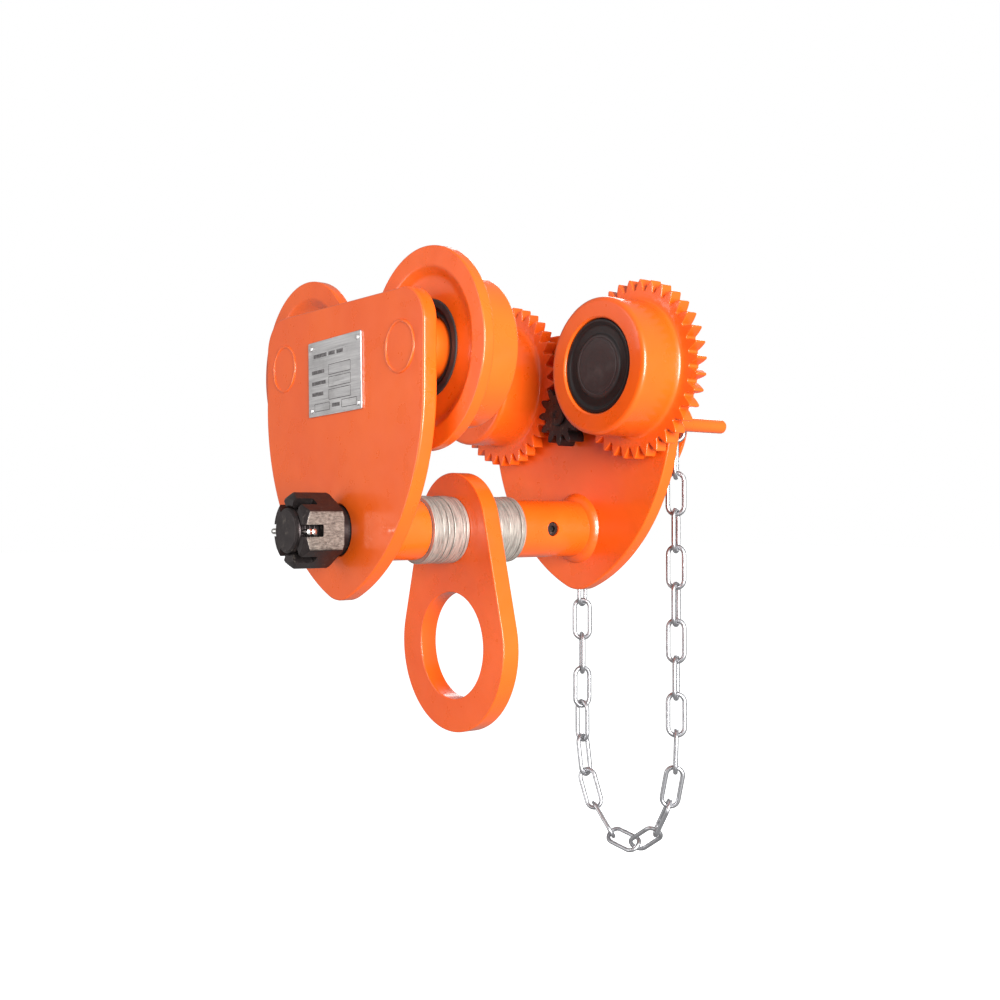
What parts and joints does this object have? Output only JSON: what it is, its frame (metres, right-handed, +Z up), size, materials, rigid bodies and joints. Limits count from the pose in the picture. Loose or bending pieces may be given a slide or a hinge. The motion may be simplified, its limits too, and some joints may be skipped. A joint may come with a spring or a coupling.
{
  "type": "beam trolley",
  "caption": "Geared beam trolley: side plates on flanged and geared wheels, a load shaft with spacer washers and a swinging hanger plate, moved by a hand chain.",
  "frame": {"origin": "on the beam's mid-plane, halfway between the front and rear wheels, at the height where the treads roll on the lower flange", "axes": "+X across the beam from the plain wheels to the geared wheels and hand chain, +Y along the beam, +Z up"},
  "size_m": [0.396, 0.3332, 0.5162],
  "materials": {
    "orange_paint": "glossy orange enamel over steel, thicker and paler at edges and welds",
    "nameplate_metal": "brushed plate with riveted corners",
    "bearing_steel": "ground and polished",
    "seal_rubber": "matte",
    "dark_cap": "dark grey-brown pressed cap, slightly oily",
    "black_oxide": "black oxide, oily, worn brown-grey on the flats",
    "zinc": "dull zinc plate with turned streaks",
    "bright_zinc": "bright zinc plate",
    "bronze": "oiled bearing bronze"
  },
  "bodies": {
    "frame": {"side_plate_left": "orange_paint", "side_plate_right": "orange_paint", "nameplate": "nameplate_metal", "plain_wheel_front_axle": "orange_paint", "plain_wheel_front_bearing_inner_race": "bearing_steel", "plain_wheel_front_bearing_cage": "bearing_steel", "plain_wheel_front_axle_circlip": "bearing_steel", "plain_wheel_rear_axle": "orange_paint", "plain_wheel_rear_bearing_inner_race": "bearing_steel", "plain_wheel_rear_bearing_cage": "bearing_steel", "plain_wheel_rear_axle_circlip": "bearing_steel", "geared_wheel_front_axle": "orange_paint", "geared_wheel_front_bearing_inner_race": "bearing_steel", "geared_wheel_front_bearing_cage": "bearing_steel", "geared_wheel_front_axle_circlip": "bearing_steel", "geared_wheel_rear_axle": "orange_paint", "geared_wheel_rear_bearing_inner_race": "bearing_steel", "geared_wheel_rear_bearing_cage": "bearing_steel", "geared_wheel_rear_axle_circlip": "bearing_steel", "sleeve_left": "orange_paint", "sleeve_right": "orange_paint", "sleeve_screw": "black_oxide", "load_shaft": "black_oxide", "castle_nut": "black_oxide", "cotter_pin": "zinc", "spacer_washer_left_1": "zinc", "spacer_washer_left_2": "zinc", "spacer_washer_left_3": "zinc", "spacer_washer_left_4": "zinc", "spacer_washer_left_5": "zinc", "spacer_washer_left_6": "zinc", "spacer_washer_right_1": "zinc", "spacer_washer_right_2": "zinc", "spacer_washer_right_3": "zinc", "drive_bush": "bronze", "drive_bearing_housing": "orange_paint", "chain_guide_rod_front": "orange_paint", "chain_guide_rod_rear": "orange_paint", "hand_chain": "bright_zinc"},
    "plain_wheel_front": {"plain_wheel_front": "orange_paint", "plain_wheel_front_bearing_outer_race": "bearing_steel", "plain_wheel_front_seal": "seal_rubber", "plain_wheel_front_dust_cap": "dark_cap"},
    "plain_wheel_rear": {"plain_wheel_rear": "orange_paint", "plain_wheel_rear_bearing_outer_race": "bearing_steel", "plain_wheel_rear_seal": "seal_rubber", "plain_wheel_rear_dust_cap": "dark_cap"},
    "geared_wheel_front": {"geared_wheel_front": "orange_paint", "geared_wheel_front_bearing_outer_race": "bearing_steel", "geared_wheel_front_seal": "seal_rubber", "geared_wheel_front_dust_cap": "dark_cap"},
    "geared_wheel_rear": {"geared_wheel_rear": "orange_paint", "geared_wheel_rear_bearing_outer_race": "bearing_steel", "geared_wheel_rear_seal": "seal_rubber", "geared_wheel_rear_dust_cap": "dark_cap"},
    "drive_shaft": {"pinion_shaft": "black_oxide", "hand_chain_wheel": "orange_paint", "chain_wheel_key": "bearing_steel", "chain_wheel_nut": "zinc"},
    "hanger": {"hanger_plate": "orange_paint"}
  },
  "joints": [
    {"name": "plain_wheel_front_spin", "type": "hinge", "parent": "frame", "child": "plain_wheel_front", "pos_m": [0, -0.09, 0.0576], "axis": [1, 0, 0], "continuous": true},
    {"name": "plain_wheel_rear_spin", "type": "hinge", "parent": "frame", "child": "plain_wheel_rear", "pos_m": [0, 0.09, 0.0576], "axis": [1, 0, 0], "continuous": true},
    {"name": "geared_wheel_front_spin", "type": "hinge", "parent": "frame", "child": "geared_wheel_front", "pos_m": [0, -0.09, 0.0576], "axis": [1, 0, 0], "continuous": true},
    {"name": "geared_wheel_rear_spin", "type": "hinge", "parent": "frame", "child": "geared_wheel_rear", "pos_m": [0, 0.09, 0.0576], "axis": [1, 0, 0], "continuous": true},
    {"name": "drive_spin", "type": "hinge", "parent": "frame", "child": "drive_shaft", "pos_m": [0, 0, 0.02419], "axis": [1, 0, 0], "continuous": true},
    {"name": "hanger_swing", "type": "hinge", "parent": "frame", "child": "hanger", "pos_m": [0, 0, -0.0788], "axis": [1, 0, 0], "range_deg": [-75, 75]}
  ],
  "couplings": [
    {"joint": "geared_wheel_rear_spin", "follows": "geared_wheel_front_spin", "ratio": 1},
    {"joint": "drive_spin", "follows": "geared_wheel_front_spin", "ratio": -3}
  ]
}
